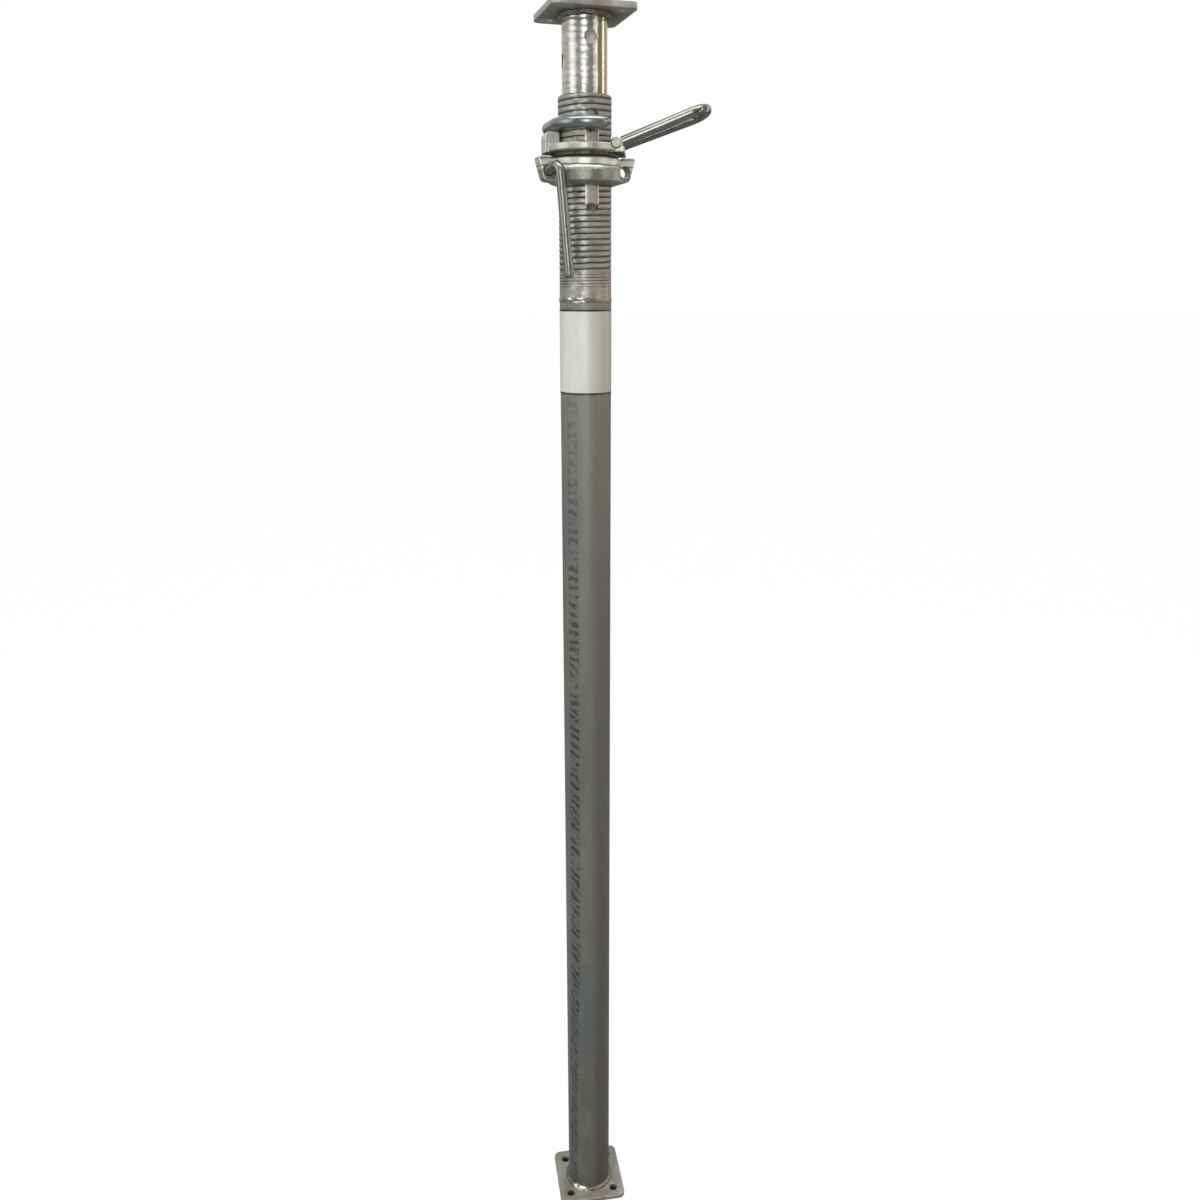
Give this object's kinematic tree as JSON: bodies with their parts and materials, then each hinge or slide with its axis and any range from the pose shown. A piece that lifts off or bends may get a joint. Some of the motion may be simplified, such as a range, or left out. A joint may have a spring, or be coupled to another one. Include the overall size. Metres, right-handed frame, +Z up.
{
  "type": "adjustable steel prop",
  "caption": "Telescoping steel prop with flat end plates, a slotted threaded neck, a G-shaped pin, a release ring with a loop handle and a lugged adjusting nut",
  "frame": {"origin": "middle of the base plate's underside, on the prop's axis, at floor level", "axes": "+Z up along the tubes, Y along the slot and the pin, X across them with the loop handle on the +X side, turned a little to the front"},
  "size_m": [0.2401, 0.1467, 2.0053],
  "materials": {
    "plate_steel": "dark galvanised plate, soiled",
    "weld": "bright weld bead",
    "tube_steel": "dull galvanised tube",
    "thread_steel": "worn galvanised thread",
    "inner_steel": "brighter galvanised tube",
    "rod_steel": "smooth plated round bar",
    "cast_ring": "galvanised casting, yellowish",
    "cast_nut": "galvanised casting, grey-green",
    "label": "blank adhesive label with thin dark edge lines"
  },
  "bodies": {
    "stand": {"outer_tube": "tube_steel", "base_plate": "plate_steel", "base_weld": "weld", "neck_weld": "weld", "threaded_neck": "thread_steel", "label_band": "label"},
    "ring": {"release_ring": "cast_ring", "handle_pin": "rod_steel"},
    "nut": {"adjusting_nut": "cast_nut"},
    "handle": {"handle_loop": "rod_steel"},
    "rod": {"drop_rod": "rod_steel"},
    "inner": {"inner_tube": "inner_steel", "tail_bush": "tube_steel", "head_weld": "weld", "head_plate": "plate_steel"},
    "hook": {"g_hook": "rod_steel"}
  },
  "joints": [
    {"name": "ring_rise", "type": "slide", "parent": "stand", "child": "ring", "axis": [0, 0, 1], "range_m": [-0.0945, 0.0095]},
    {"name": "nut_turn", "type": "hinge", "parent": "ring", "child": "nut", "pos_m": [0, 0, 1.796], "axis": [0, 0, 1], "range_deg": [-4230, 405]},
    {"name": "tube_slide", "type": "slide", "parent": "stand", "child": "inner", "axis": [0, 0, 1], "range_m": [-0.0945, 0.0095]},
    {"name": "hook_pull", "type": "slide", "parent": "inner", "child": "hook", "axis": [0, 1, 0], "range_m": [0, 0.012]},
    {"name": "handle_lift", "type": "hinge", "parent": "ring", "child": "handle", "pos_m": [0.0437, -0.0159, 1.8326], "axis": [-0.342, -0.9397, 0], "range_deg": [0, 68]},
    {"name": "rod_swing", "type": "hinge", "parent": "nut", "child": "rod", "pos_m": [-0.056, 0, 1.798], "axis": [0, 1, 0], "range_deg": [-3, 60]}
  ],
  "couplings": [
    {"joint": "ring_rise", "follows": "nut_turn", "m_per_rad": 0.0012732},
    {"joint": "tube_slide", "follows": "nut_turn", "m_per_rad": 0.0012732}
  ]
}
